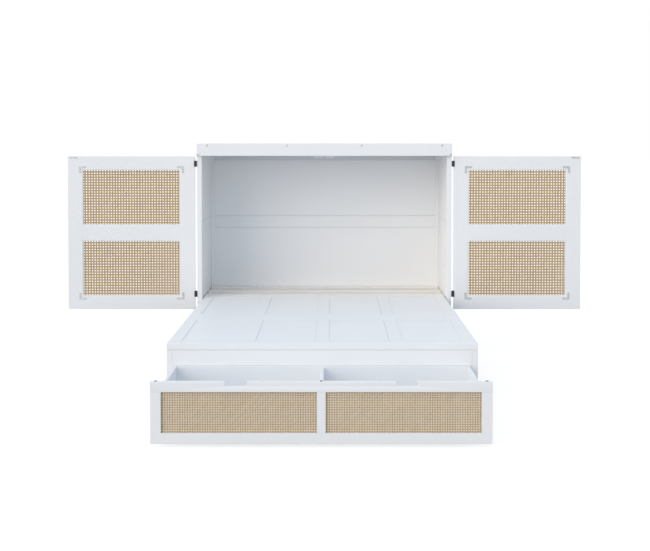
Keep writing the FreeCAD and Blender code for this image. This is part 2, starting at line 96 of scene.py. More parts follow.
# Screws
fascia_screw_radius = 7.5 * MILLIMETRE
fascia_screw_places = (0.146, 0.46)
fascia_screw_drop = 12.0 * MILLIMETRE
bracket_screw_radius = 3.0 * MILLIMETRE
bracket_width = 13.0 * MILLIMETRE
bracket_screw_places = (0.45, 0.84)
plate_screw_radius = 2.6 * MILLIMETRE
strike_screw_places = (0.2, 0.8)
hinge_screw_radius = 3.0 * MILLIMETRE
hinge_screw_spread = 11.0 * MILLIMETRE
hinge_leaf = 2.0 * MILLIMETRE
fold_knuckle_radius = 3.5 * MILLIMETRE
back_screw_radius = 4.0 * MILLIMETRE
back_screw_count = 6
back_screw_end_gap = 60.0 * MILLIMETRE
wall_cap_radius = 7.0 * MILLIMETRE
screw_dome_share = 0.28
flush_dome_share = 0.08
screw_grid = 10
recess_arm_share = 0.14
recess_reach_share = 0.62
recess_depth_share = 0.9

# Caster wheels, as shares of the wheel's radius and of its half width
wheel_steps = 48
wheel_spokes = 6
spoke_steps = 2
wheel_bore_share = 0.18
wheel_boss_share = 0.36
wheel_web_share = 0.66
wheel_rim_share = 0.74
wheel_shoulder_share = 0.92
wheel_edge_share = 0.98
wheel_recess_share = 0.12
wheel_edge_width_share = 0.86
wheel_tread_width_share = 0.62

# Open joints between boards, and how dark each kind shows
joint_half_width = 1.3 * MILLIMETRE
joint_front_clear = 2.0 * MILLIMETRE
joint_depth = 1.0 * MILLIMETRE
board_joint_share = 0.45
deck_joint_share = 0.16
# Joint lines painted darker on some sides of the deck's panels, as painted shadow of the panels' recess
painted_shadow_joint_share = 0.45
deck_rail_joint_share = 0.22
base_rail_joint_share = 0.4

# Sides of the deck's panels, counted from 0 at the left, whose joints no shadow marks, so their joint lines
# are painted darker as painted shadow
painted_shadow_panel_sides = (3, 5, 6)

# Magnetic catches and the rail along the top of the back
catch_case_height = 12.5 * MILLIMETRE
catch_case_round = 1.5 * MILLIMETRE
pole_plate_inset = 5.0 * MILLIMETRE
pole_plate_proud = 0.6 * MILLIMETRE
pole_plate_places = (0.28, 0.62)
pole_plate_height = 1.6 * MILLIMETRE
top_rail_height = 90.0 * MILLIMETRE
strip_round = 1.0 * MILLIMETRE

# Strips that close running gaps
deck_bead_setback = 2.0 * MILLIMETRE
deck_bead_depth = 3.0 * MILLIMETRE
running_gap = 0.7 * MILLIMETRE
drawer_lip_depth = 13.5 * MILLIMETRE
drawer_lip_height = 8.0 * MILLIMETRE
packer_setback = 1.0 * MILLIMETRE
packer_depth = 80.0 * MILLIMETRE
packer_height = 85.0 * MILLIMETRE
thin_round = 0.3 * MILLIMETRE

# Colours, the tones from dark to light
plain = (1.0, 1.0, 1.0)
white_tones = ((0.868, 0.872, 0.878), (0.884, 0.888, 0.893))
# Darker, bluer white for the drawer's box: painted shade for the inside of the drawer
shaded_box_tones = ((0.805, 0.818, 0.836), (0.825, 0.837, 0.853))
# Darker white for the rail along the top of the back: painted shade, where the top of the cabinet shades it
shaded_rail_tones = ((0.70, 0.715, 0.74), (0.725, 0.74, 0.76))
joint_colour = (0.05, 0.055, 0.06, 1.0)
slat_tones = ((0.895, 0.85, 0.80), (0.935, 0.895, 0.855), (0.95, 0.92, 0.885))
slat_shade = (0.965, 0.96, 0.945)
slat_pore = (0.80, 0.74, 0.64)
cane_tones = ((0.46, 0.29, 0.105), (0.60, 0.405, 0.165), (0.76, 0.58, 0.31))
cane_shade = (0.84, 0.80, 0.74)
cane_line = (0.82, 0.78, 0.70)
black_tones = ((0.010, 0.010, 0.011), (0.022, 0.022, 0.023))
zinc_tones = ((0.46, 0.47, 0.48), (0.57, 0.58, 0.59))
grey_plastic_tones = ((0.16, 0.165, 0.17), (0.21, 0.215, 0.22))
white_plastic_tones = ((0.86, 0.87, 0.88), (0.90, 0.91, 0.92))
felt_tones = ((0.16, 0.16, 0.165), (0.30, 0.30, 0.305))

# Where most of a noise's values lie
noise_middle = (0.3, 0.7)

# Camera, fitted to the photograph's 650 by 551 frame
camera_place = (0.0466, -6.0182, 1.4033)
camera_pitch = math.radians(1.415)
camera_lens = 57.98
camera_shift = (-0.0101, -0.17)

# Light and floor
key_direction = Vector((0.729, 0.611, -0.309))
key_strength = 1.70
key_softness = math.radians(60)
key_colour = (1.0, 0.875, 0.715)
sky_colour = (0.875, 0.99, 1.14, 1.0)
sky_strength = 0.82
floor_half_size = 60.0
floor_bounce = 0.45
floor_seen_shade = 0.30
floor_seen_glow = 0.80


# Reading the frame

def solid_boxes(name):
    """Lowest and highest corner of each separate solid of a CAD node."""
    mesh = nodes[name].data
    spots = [tuple(round(value, same_spot_decimals) for value in vertex.co) for vertex in mesh.vertices]
    leader = {spot: spot for spot in spots}

    def find(spot):
        while leader[spot] != spot:
            leader[spot] = leader[leader[spot]]
            spot = leader[spot]
        return spot

    for face in mesh.polygons:
        first = find(spots[face.vertices[0]])
        for corner in face.vertices[1:]:
            leader[find(spots[corner])] = first
    groups = {}
    for spot in leader:
        groups.setdefault(find(spot), []).append(spot)
    boxes = []
    for members in groups.values():
        axes = list(zip(*members))
        boxes.append((Vector([min(axis) for axis in axes]), Vector([max(axis) for axis in axes])))
    return sorted(boxes, key=lambda box: tuple(box[0]))


# Node helpers

def add_node(tree, kind, inputs=None, **settings):
    """A shader node with its settings. An input's value is a number, a colour or a socket to link from."""
    node = tree.nodes.new(kind)
    for name, value in settings.items():
        setattr(node, name, value)
    for name, value in (inputs or {}).items():
        socket = node.inputs[name]
        if isinstance(value, bpy.types.NodeSocket):
            tree.links.new(value, socket)
        else:
            socket.default_value = value
    return node


def arithmetic(tree, operation, *values):
    """The result of a sum on numbers and sockets."""
    node = add_node(tree, "ShaderNodeMath", dict(enumerate(values)), operation=operation)
    return node.outputs["Value"]


def mixed(tree, first, second, factor, blend="MIX"):
    """Two colours mixed by a factor."""
    node = add_node(tree, "ShaderNodeMix", {"Factor": factor, "A": first, "B": second},
                    data_type="RGBA", blend_type=blend)
    return node.outputs["Result"]


def surface_input(shader, word):
    """An input of a Principled surface from its name in lower case, as in base_color."""
    return shader.inputs[word.replace("_", " ").title().replace("Ior", "IOR")]


def link_surface(tree, shader, **outputs):
    """Link outputs to the inputs of a surface that they are named after."""
    for word, output in outputs.items():
        tree.links.new(output, surface_input(shader, word))


def new_material(name, **surface):
    """A material, its node tree and its Principled surface with the given constant values."""
    material = bpy.data.materials.new(name)
    material.use_nodes = True
    tree = material.node_tree
    shader = tree.nodes["Principled BSDF"]
    for word, value in surface.items():
        surface_input(shader, word).default_value = value
    return material, tree, shader


def stretched(tree, place, scale):
    """Texture coordinates multiplied along each axis."""
    return add_node(tree, "ShaderNodeMapping", {"Vector": place, "Scale": scale}).outputs["Vector"]


def object_place(tree, scale=(1, 1, 1)):
    """The object's own coordinates in metres, stretched."""
    return stretched(tree, add_node(tree, "ShaderNodeTexCoord").outputs["Object"], scale)


def noise(tree, place, scale=1.0, detail=3.0, roughness=0.5, distortion=0.0):
    """Noise between 0 and 1."""
    node = add_node(tree, "ShaderNodeTexNoise",
                    {"Vector": place, "Scale": scale, "Detail": detail, "Roughness": roughness,
                     "Distortion": distortion})
    return node.outputs["Fac"]


def ramp(tree, factor, colours, positions=noise_middle):
    """Colours blended along a factor, each at its position."""
    node = add_node(tree, "ShaderNodeValToRGB", {"Fac": factor})
    elements = node.color_ramp.elements
    while len(elements) < len(colours):
        elements.new(0.5)
    for element, position, colour in zip(elements, positions, colours):
        element.position = position
        element.color = (*colour, 1.0)
    return node.outputs["Color"]


def between(tree, factor, low, high):
    """A factor from 0 to 1 laid out between two numbers."""
    node = add_node(tree, "ShaderNodeMapRange", {"Value": factor, "To Min": low, "To Max": high})
    return node.outputs["Result"]


def bump(tree, shader, height, strength, distance):
    """Relief on a surface, on top of any that it has."""
    inputs = {"Height": height, "Strength": strength, "Distance": distance}
    if shader.inputs["Normal"].is_linked:
        inputs["Normal"] = shader.inputs["Normal"].links[0].from_socket
    node = add_node(tree, "ShaderNodeBump", inputs)
    tree.links.new(node.outputs["Normal"], shader.inputs["Normal"])


def along_axis(axis, along, across):
    """A stretch of texture space that draws its pattern out along one axis."""
    return tuple(along if index == axis else across for index in range(3))


# Materials

def joint_at(tree, place, axis, position, start_y):
    """1 in the open joint between boards at a place on an axis, falling to 0 beside it and before start_y."""
    along = add_node(tree, "ShaderNodeSeparateXYZ", {"Vector": place})
    distance = arithmetic(tree, "ABSOLUTE", arithmetic(tree, "SUBTRACT", along.outputs[axis], position))
    joint = add_node(tree, "ShaderNodeMapRange",
                     {"Value": distance, "From Max": joint_half_width, "To Min": 1.0, "To Max": 0.0})
    behind_start = arithmetic(tree, "GREATER_THAN", along.outputs["Y"], start_y)
    return arithmetic(tree, "MULTIPLY", joint.outputs["Result"], behind_start)


def make_paint(name, axis, tones, joint_axis=2, joints=None, start_y=cad_box[0][1]):
    """Satin paint in two close tones, with faint brush lines along the board and a fine sprayed skin.

    joints holds the places on the joint axis where boards meet, and how dark the line is at each; some deck
    lines are darker than their joint, as painted shadow.
    """
    material, tree, shader = new_material(name + "_" + "xyz"[axis], specular_ior_level=0.4)
    place = object_place(tree)
    colour = ramp(tree, noise(tree, place, scale=3.5, detail=4.0), tones)
    for position, share in (joints or {}).items():
        open_joint = joint_at(tree, place, joint_axis, position, start_y)
        colour = mixed(tree, colour, joint_colour, between(tree, open_joint, low=0.0, high=share))
        groove = between(tree, open_joint, low=1.0, high=0.0)
        bump(tree, shader, groove, strength=0.6, distance=joint_depth)
    brush_place = object_place(tree, along_axis(axis, along=2.2, across=150.0))
    brushed = noise(tree, brush_place, detail=3.0, roughness=0.6)
    skin = noise(tree, place, scale=520.0, detail=2.0)
    link_surface(tree, shader, base_color=colour, roughness=between(tree, brushed, low=0.38, high=0.52))
    bump(tree, shader, brushed, strength=0.10, distance=0.6 * MILLIMETRE)
    bump(tree, shader, skin, strength=0.12, distance=0.3 * MILLIMETRE)
    return material


def make_slat_wood():
    """Pale planed softwood, grain along X, with soft rings and fine pores."""
    material, tree, shader = new_material("slat_wood", specular_ior_level=0.6)
    place = object_place(tree, along_axis(0, along=1.6, across=17.0))
    warp = noise(tree, place, scale=0.8, detail=2.0)
    wave = add_node(tree, "ShaderNodeTexWave",
                    {"Vector": place, "Scale": 1.1, "Distortion": 5.0, "Detail": 3.0, "Detail Scale": 0.7},
                    wave_type="BANDS", bands_direction="Y")
    rings = wave.outputs["Fac"]
    grain = ramp(tree, rings, slat_tones, positions=(0.0, 0.55, 1.0))
    broad = ramp(tree, warp, (slat_shade, plain), positions=(0.3, 0.75))
    tinted = mixed(tree, grain, broad, factor=1.0, blend="MULTIPLY")
    pores = noise(tree, object_place(tree, along_axis(0, along=9.0, across=900.0)), detail=2.0, roughness=0.7)
    streaks = ramp(tree, pores, (slat_pore, plain), positions=(0.28, 0.42))
    colour = mixed(tree, tinted, streaks, factor=0.4, blend="MULTIPLY")
    link_surface(tree, shader, base_color=colour, roughness=between(tree, pores, low=0.52, high=0.36))
    bump(tree, shader, pores, strength=0.25, distance=0.4 * MILLIMETRE)
    bump(tree, shader, rings, strength=0.12, distance=0.5 * MILLIMETRE)
    return material


def make_cane():
    """Split cane: a tan skin with lengthwise fibres, and tone that differs from strand to strand."""
    material, tree, shader = new_material("cane_fibre", specular_ior_level=0.45)
    strand = add_node(tree, "ShaderNodeAttribute", attribute_name="strand_tone").outputs["Fac"]
    run = add_node(tree, "ShaderNodeUVMap", uv_map="strand").outputs["UV"]
    fibres = noise(tree, stretched(tree, run, (30.0, 2600.0, 1.0)), detail=2.0)
    patches = noise(tree, stretched(tree, run, (22.0, 0.0, 1.0)), detail=2.0)
    skin = ramp(tree, strand, cane_tones, positions=(0.0, 0.6, 1.0))
    shade = ramp(tree, patches, (cane_shade, plain), positions=(0.3, 0.6))
    patched = mixed(tree, skin, shade, factor=0.8, blend="MULTIPLY")
    lines = ramp(tree, fibres, (cane_line, plain), positions=(0.3, 0.65))
    colour = mixed(tree, patched, lines, factor=0.7, blend="MULTIPLY")
    link_surface(tree, shader, base_color=colour, roughness=between(tree, fibres, low=0.55, high=0.36))
    bump(tree, shader, fibres, strength=0.2, distance=0.2 * MILLIMETRE)
    return material


def make_black_metal():
    """Satin black powder coat on the door hinges."""
    material, tree, shader = new_material("black_metal", specular_ior_level=0.5)
    place = object_place(tree)
    grains = noise(tree, place, scale=900.0, detail=2.0)
    wear = noise(tree, place, scale=60.0, detail=4.0)
    colour = ramp(tree, wear, black_tones, positions=(0.35, 0.75))
    link_surface(tree, shader, base_color=colour, roughness=between(tree, wear, low=0.36, high=0.55))
    bump(tree, shader, grains, strength=0.25, distance=0.2 * MILLIMETRE)
    return material


def make_steel():
    """Zinc-plated sheet steel with rolling lines and a cloudy plating."""
    material, tree, shader = new_material("zinc_steel", metallic=1.0)
    clouds = noise(tree, object_place(tree), scale=45.0, detail=5.0)
    lines = noise(tree, object_place(tree, along_axis(0, along=25.0, across=700.0)), detail=2.0)
    colour = ramp(tree, clouds, zinc_tones)
    link_surface(tree, shader, base_color=colour, roughness=between(tree, clouds, low=0.30, high=0.46))
    bump(tree, shader, lines, strength=0.12, distance=0.2 * MILLIMETRE)
    return material


def make_plastic(name, tones):
    """Moulded plastic with a fine sparked grain."""
    material, tree, shader = new_material(name, specular_ior_level=0.45)
    place = object_place(tree)
    colour = ramp(tree, noise(tree, place, scale=30.0, detail=3.0), tones)
    grain = noise(tree, place, scale=1400.0, detail=2.0)
    link_surface(tree, shader, base_color=colour, roughness=between(tree, grain, low=0.42, high=0.6))
    bump(tree, shader, grain, strength=0.2, distance=0.2 * MILLIMETRE)
    return material


def make_felt():
    """Pressed grey felt."""
    material, tree, shader = new_material("felt", roughness=0.95, sheen_weight=0.4, sheen_roughness=0.5)
    fibres = noise(tree, object_place(tree), scale=1600.0, detail=4.0, roughness=0.7, distortion=1.5)
    link_surface(tree, shader, base_color=ramp(tree, fibres, felt_tones))
    bump(tree, shader, fibres, strength=0.6, distance=0.6 * MILLIMETRE)
    return material


# Paints with their joints, and the finish of each slot
paints = [make_paint("white_paint", axis, white_tones) for axis in range(3)]
# A darker, bluer copy of the white paint, as painted shade inside the drawer
shaded_box_paints = [make_paint("shaded_box_paint", axis, shaded_box_tones) for axis in range(3)]
# Darker paint for the top rail, as painted shade
shaded_rail_paint = make_paint("shaded_rail_paint", 0, shaded_rail_tones)
rail_low, rail_high = (corner.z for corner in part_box("back_mid_rail"))
back_joints = {rail_low: board_joint_share, rail_high: board_joint_share}
back_paint = make_paint("back_paint", 0, white_tones, 2, back_joints)
wall_paint = make_paint("wall_paint", 2, white_tones, 2, {rail_high: board_joint_share},
                        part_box("left_side_boards")[0].y + joint_front_clear)
panel_sides = [corner.x for box in solid_boxes("front_deck_stiles") for corner in box][1:-1]
deck_joints = dict.fromkeys(panel_sides, deck_joint_share)
# Darker joint lines on the chosen panel sides: painted shadow
deck_joints.update((panel_sides[index], painted_shadow_joint_share) for index in painted_shadow_panel_sides)
deck_paint = make_paint("deck_paint", 1, white_tones, 0, deck_joints)
panel_ends = [corner.y for section in ("front", "rear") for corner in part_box(section + "_deck_stiles")]
deck_rail_paint = make_paint("deck_rail_paint", 0, white_tones, 1,
                             dict.fromkeys(panel_ends, deck_rail_joint_share))
base_rail_ends = [corner.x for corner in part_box("base_front_rail")]
base_rail_paint = make_paint("base_rail_paint", 0, white_tones, 0,
                             dict.fromkeys(base_rail_ends, base_rail_joint_share))
cane_fibre = make_cane()
zinc_steel = make_steel()
black_metal = make_black_metal()
slot_materials = {
    "slat_wood": make_slat_wood(),
    "cane": cane_fibre,
    "black_metal": black_metal,
    "grey_steel": zinc_steel,
    "grey_plastic": make_plastic("grey_plastic", grey_plastic_tones),
    "white_plastic": make_plastic("white_plastic", white_plastic_tones),
    "felt": make_felt(),
}

# Which way the boards run that don't run across the bed
boards_along_y = ("base_sides", "drawer_sides", "drawer_divider")
boards_along_z = ("door_stiles", "corner_battens")

# Boards that show their joints
jointed_paints = {
    "side_boards": wall_paint,
    "back_boards": back_paint,
    "back_mid_rail": back_paint,
    "deck_stiles": deck_paint,
    "deck_panels": deck_paint,
    "deck_rails": deck_rail_paint,
    "base_front_rail": base_rail_paint,
}

# Boards of the drawer's box, in a darker, bluer copy of the white paint: painted shade for the inside of the
# drawer
box_boards = ("drawer_sides", "drawer_back", "drawer_bottom", "drawer_divider")

# Nodes whose solids touch one another keep their edges as drawn
sharp_nodes = ("drawer_front_frame", "door_cane_beads", "side_boards", "drawer_inner_front")


def paint_for(name):
    """The paint whose brush lines follow a node's boards."""
    for ending, paint in jointed_paints.items():
        if name.endswith(ending):
            return paint
    coats = shaded_box_paints if name in box_boards else paints
    if name.endswith(boards_along_y):
        return coats[1]
    if name.endswith(boards_along_z):
        return coats[2]
    return coats[0]


def ease_edges(piece):
    """Round a CAD node's hard edges a little, as paint and sanding leave them."""
    weld = piece.modifiers.new("join_faces", "WELD")
    weld.merge_threshold = weld_distance
    flats = piece.modifiers.new("whole_faces", "DECIMATE")
    flats.decimate_type = "DISSOLVE"
    flats.angle_limit = flat_angle
    rounding = piece.modifiers.new("round_edges", "BEVEL")
    rounding.width = edge_round
    rounding.segments = edge_segments
    rounding.limit_method = "ANGLE"
    rounding.angle_limit = edge_angle
    rounding.harden_normals = True


def dress_nodes():
    """Give every CAD node its material and the wooden ones eased edges."""
    for entry in frame["record"]["subparts"]:
        name = entry["node"]
        slot = entry["material_slot"]
        material = paint_for(name) if slot == "white_paint" else slot_materials[slot]
        piece = nodes[name]
        piece.data.materials.clear()
        piece.data.materials.append(material)
        if slot in ("white_paint", "slat_wood") and not name.endswith(sharp_nodes):
            ease_edges(piece)


# Pieces

def new_piece(name, body, material, corners, faces):
    """A mesh piece that rides on a body and takes the material it is given."""
    mesh = bpy.data.meshes.new(name)
    mesh.from_pydata([tuple(corner) for corner in corners], [], faces)
    mesh.materials.append(material)
    piece = bpy.data.objects.new(name, mesh)
    bpy.context.scene.collection.objects.link(piece)
    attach(piece, body)
    return piece


def rounded_blocks(name, body, material, boxes, rounding):
    """Blocks with rounded edges, each from its lowest to its highest corner, as one piece."""
    corners = []
    faces = []
    for low, high in boxes:
        first = len(corners)
        for z in (low.z, high.z):
            corners += [(low.x, low.y, z), (high.x, low.y, z), (high.x, high.y, z), (low.x, high.y, z)]
        faces.append((first + 3, first + 2, first + 1, first))
        faces.append((first + 4, first + 5, first + 6, first + 7))
        for side in range(4):
            turn = (side + 1) % 4
            faces.append((first + side, first + turn, first + 4 + turn, first + 4 + side))
    piece = new_piece(name, body, material, corners, faces)
    edges = piece.modifiers.new("round_edges", "BEVEL")
    edges.width = rounding
    edges.segments = block_segments
    edges.harden_normals = True
    return piece


# Cane

def strand_mesh(points, sideways, outward, width, thickness):
    """Corners of a strand with a flat back and a crowned front, four at each point of its run."""
    half = width / 2
    crown = half * strand_crown_share
    corners = []
    for point in points:
        for across, out in ((-half, -thickness / 2), (half, -thickness / 2),
                            (crown, thickness / 2), (-crown, thickness / 2)):
            corners.append(point + sideways * across + outward * out)
    return corners


class CaneSheet:
    """A woven sheet, built up strand by strand into one mesh."""

    def __init__(self, low, high, columns, rows, strand_share, tones, rng):
        self.low = low
        self.high = high
        self.columns = columns
        self.rows = rows
        self.strand_share = strand_share
        self.pair_offset = strand_share * pair_offset_strands
        self.tone_range = tones
        self.pitch_x = (high.x - low.x) / columns
        self.pitch_z = (high.z - low.z) / rows
        self.thickness = min(self.pitch_x, self.pitch_z) * strand_thickness_share
        self.middle_y = high.y - self.thickness * weave_layers / 2
        self.rng = rng
        self.corners = []
        self.faces = []
        self.tones = []
        self.runs = []

    def strand(self, points, width):
        """Add one strand through these points."""
        along = (points[-1] - points[0]).normalized()
        outward = Vector((0, -1, 0))
        sideways = along.cross(outward)
        start = len(self.corners)
        self.corners += strand_mesh(points, sideways, outward, width, self.thickness)
        tone = self.rng.uniform(*self.tone_range)
        offset = self.rng.random() * longest_run_start
        for index, point in enumerate(points):
            distance = offset + (point - points[0]).length
            self.tones += [tone] * 4
            self.runs += [(distance, across * width) for across in strand_wrap]
            if index:
                for side in range(4):
                    near = start + (index - 1) * 4
                    turn = (side + 1) % 4
                    self.faces.append((near + side, near + turn, near + 4 + turn, near + 4 + side))
        last = len(self.corners) - 4
        self.faces.append((start + 3, start + 2, start + 1, start))
        self.faces.append((last, last + 1, last + 2, last + 3))

    def place(self, x, z, out=0.0):
        """A point of the sheet, out towards the front from its middle plane."""
        return Vector((x, self.middle_y - out, z))

    def uprights(self):
        """Straight upright strands in pairs."""
        width = self.pitch_x * self.strand_share
        for column in range(self.columns + 1):
            for side in (-1, 1):
                x = self.low.x + self.pitch_x * (column + side * self.pair_offset)
                if self.low.x + width / 2 <= x <= self.high.x - width / 2:
                    self.strand([self.place(x, self.low.z), self.place(x, self.high.z)], width)

    def crossers(self):
        """Level strands in pairs, each over one upright of a pair and under the other."""
        width = self.pitch_z * self.strand_share
        rise = self.thickness
        for row in range(self.rows + 1):
            for level in (-1, 1):
                z = self.low.z + self.pitch_z * (row + level * self.pair_offset)
                if not self.low.z + width / 2 <= z <= self.high.z - width / 2:
                    continue
                points = [self.place(self.low.x, z)]
                for column in range(self.columns + 1):
                    for side in (-1, 1):
                        x = self.low.x + self.pitch_x * (column + side * self.pair_offset)
                        if self.low.x < x < self.high.x:
                            points.append(self.place(x, z, rise * side * level))
                points.append(self.place(self.high.x, z))
                self.strand(points, width)

    def diagonals(self):
        """Slanting strands midway between the crossings, one set in front and one behind."""
        width = min(self.pitch_x, self.pitch_z) * self.strand_share * diagonal_width_strands
        inset = width
        span = self.columns + self.rows
        for direction in (1, -1):
            out = direction * self.thickness * diagonal_layer
            for step in range(-self.rows, span):
                shift = step + 0.5
                ends = []
                for row in (0, self.rows):
                    column = shift + row if direction > 0 else shift + self.rows - row
                    ends.append((column, row))
                points = self.clip(ends, inset)
                if points:
                    self.strand([self.place(x, z, out) for x, z in points], width)

    def clip(self, ends, inset):
        """A slanting run cut to the sheet, as two x, z points, or nothing if it misses."""
        (c0, r0), (c1, r1) = ends
        x0 = self.low.x + c0 * self.pitch_x
        x1 = self.low.x + c1 * self.pitch_x
        z0 = self.low.z + r0 * self.pitch_z
        z1 = self.low.z + r1 * self.pitch_z
        start = 0.0
        end = 1.0
        for origin, change, least, most in ((x0, x1 - x0, self.low.x + inset, self.high.x - inset),
                                            (z0, z1 - z0, self.low.z + inset, self.high.z - inset)):
            first, second = sorted(((least - origin) / change, (most - origin) / change))
            start = max(start, first)
            end = min(end, second)
        if end - start < least_diagonal_meshes / self.rows:
            return None
        return [(x0 + (x1 - x0) * t, z0 + (z1 - z0) * t) for t in (start, end)]


def weave_cane(node, body, columns, rows, strand_share, tone_range):
    """Replace a cane node with its woven strands, one mesh for its two sheets."""
    rng = random.Random(cane_seed + len(node))
    corners = []
    faces = []
    tones = []
    runs = []
    for low, high in solid_boxes(node):
        sheet = CaneSheet(low, high, columns, rows, strand_share, tone_range, rng)
        sheet.uprights()
        sheet.crossers()
        sheet.diagonals()
        first = len(corners)
        corners += sheet.corners
        faces += [tuple(first + corner for corner in face) for face in sheet.faces]
        tones += sheet.tones
        runs += sheet.runs
    piece = new_piece(node + "_weave", body, cane_fibre, corners, faces)
    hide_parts(node)
    mesh = piece.data
    mesh.attributes.new("strand_tone", "FLOAT", "POINT").data.foreach_set("value", tones)
    layer = mesh.uv_layers.new(name="strand")
    for loop in mesh.loops:
        layer.data[loop.index].uv = runs[loop.vertex_index]


# Screws

def screw_heads(name, body, material, places, outward, radius, dome=screw_dome_share, recessed=True):
    """Domed screw heads at these places and facing one way, as one piece, with a cross recess or plain."""
    outward = Vector(outward)
    across = outward.orthogonal().normalized()
    upward = outward.cross(across)
    corners = []
    faces = []
    row = screw_grid + 1
    last = screw_grid * row
    rim = [*range(screw_grid), *range(screw_grid, last + screw_grid, row),
           *range(last + screw_grid, last, -1), *range(last, 0, -row)]
    for place in places:
        first = len(corners)
        for i in range(row):
            for j in range(row):
                u = 2 * i / screw_grid - 1
                v = 2 * j / screw_grid - 1
                x = u * math.sqrt(1 - v * v / 2)
                y = v * math.sqrt(1 - u * u / 2)
                distance = math.hypot(x, y)
                height = dome * (1 - distance ** 2)
                in_cross = min(abs(x), abs(y)) < recess_arm_share and distance < recess_reach_share
                if in_cross and recessed:
                    height -= dome * recess_depth_share * (1 - distance)
                corners.append(place + (across * x + upward * y + outward * height) * radius)
        for i in range(screw_grid):
            for j in range(screw_grid):
                corner = first + i * row + j
                faces.append((corner, corner + row, corner + row + 1, corner + 1))
        faces.append(tuple(first + corner for corner in rim))
    piece = new_piece(name, body, material, corners, faces)
    for face in piece.data.polygons:
        face.use_smooth = len(face.vertices) == 4


def screw_brackets(side):
    """Screws along both arms of a door's corner brackets."""
    low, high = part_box(side + "_door_stiles")
    middle = (low + high) / 2
    places = []
    for start, end in solid_boxes(side + "_door_brackets"):
        inward_x = 1 if (start.x + end.x) / 2 < middle.x else -1
        inward_z = 1 if (start.z + end.z) / 2 < middle.z else -1
        corner_x = start.x if inward_x > 0 else end.x
        corner_z = start.z if inward_z > 0 else end.z
        for share in bracket_screw_places:
            along = share * (end.x - start.x)
            across = bracket_width / 2
            places.append(Vector((corner_x + inward_x * along, start.y, corner_z + inward_z * across)))
            places.append(Vector((corner_x + inward_x * across, start.y, corner_z + inward_z * along)))
    screw_heads(side + "_door_bracket_screws", side + "_door", zinc_steel, places,
                (0, -1, 0), bracket_screw_radius)


def screw_strike(side):
    """Two screws in a door's strike plate."""
    low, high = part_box(side + "_door_strike_plate")
    height = (low.z + high.z) / 2
    width = high.x - low.x
    places = [Vector((low.x + share * width, low.y, height)) for share in strike_screw_places]
    screw_heads(side + "_door_strike_screws", side + "_door", zinc_steel, places,
                (0, -1, 0), plate_screw_radius)


def hinge_screw_pair(leaf_x, low, high):
    """Places above and below the middle of one hinge leaf."""
    middle_z = (low.z + high.z) / 2
    leaf_y = high.y - hinge_screw_spread
    return [Vector((leaf_x, leaf_y, middle_z + step * hinge_screw_spread)) for step in (-1, 1)]


def screw_hinges(side, sign):
    """Two screws in each hinge leaf that is fixed to the cabinet's side, on one side of it."""
    fixed = []
    for low, high in solid_boxes("door_hinge_leaves"):
        if sign * low.x > 0:
            leaf_x = sign * min(abs(low.x), abs(high.x)) + sign * hinge_leaf
            fixed += hinge_screw_pair(leaf_x, low, high)
    screw_heads(side + "_hinge_fixed_screws", "cabinet", black_metal, fixed,
                (sign, 0, 0), hinge_screw_radius)


def screw_fascia():
    """Screws along the fascia's upper edge and one in each corner plate."""
    low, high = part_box("top_fascia")
    width = high.x - low.x
    places = []
    for share in fascia_screw_places:
        for sign in (-1, 1):
            places.append(Vector((sign * share * width, low.y, high.z - fascia_screw_drop)))
    screw_heads("fascia_screws", "cabinet", zinc_steel, places,
                (0, -1, 0), fascia_screw_radius)
    plates = []
    for start, end in solid_boxes("fascia_fasteners"):
        plates.append(Vector(((start.x + end.x) / 2, start.y, (start.z + end.z) / 2)))
    screw_heads("corner_plate_screws", "cabinet", zinc_steel, plates,
                (0, -1, 0), plate_screw_radius)


def screw_back():
    """Screws through the back boards into the corner battens, and caps over the wall fixings inside."""
    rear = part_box("back_boards")[1].y
    places = []
    for low, high in solid_boxes("corner_battens"):
        x = (low.x + high.x) / 2
        start = low.z + back_screw_end_gap
        step = (high.z - back_screw_end_gap - start) / (back_screw_count - 1)
        places += [Vector((x, rear, start + index * step)) for index in range(back_screw_count)]
    screw_heads("back_board_screws", "cabinet", zinc_steel, places,
                (0, 1, 0), back_screw_radius)
    holes = next(mount for mount in frame["record"]["mounts"] if mount["name"] == "wall_fixing_holes")
    centre = Vector(holes["pos_m"])
    centre.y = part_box("back_mid_rail")[0].y
    reach = holes["dims"]["spacing_x_mm"] * MILLIMETRE / 2
    caps = [centre + Vector((sign * reach, 0, 0)) for sign in (-1, 1)]
    screw_heads("wall_fixing_caps", "cabinet", paints[0], caps,
                (0, -1, 0), wall_cap_radius, recessed=False)


def screw_fold_hinges():
    """Screws in the fold hinges' leaves under the deck."""
    for body, at_front in (("rear_deck", False), ("front_deck", True)):
        places = []
        for low, high in solid_boxes(body + "_fold_hinges"):
            middle = (low.x + high.x) / 2
            near_end = low.y if at_front else high.y
            leaf_y = near_end + (hinge_screw_spread if at_front else -hinge_screw_spread)
            leaf_z = low.z + fold_knuckle_radius
            spread = (high.x - low.x) / 3
            places += [Vector((middle + step * spread, leaf_y, leaf_z)) for step in (-1, 0, 1)]
        screw_heads(body + "_fold_hinge_screws", body, zinc_steel, places,
                    (0, 0, -1), hinge_screw_radius, dome=flush_dome_share)


# Inside the top of the cabinet

def fit_top_rail():
    """A rail along the top of the back, between the corner battens, in a darker paint that is painted shade
    under the top.
    """
    left, right = sorted(solid_boxes("corner_battens"), key=lambda box: box[0].x)
    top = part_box("fascia_rail")[1].z
    low = Vector((left[1].x, left[0].y, top - top_rail_height))
    high = Vector((right[0].x, left[1].y, top))
    rounded_blocks("top_rear_rail", "cabinet", shaded_rail_paint, [(low, high)], strip_round)


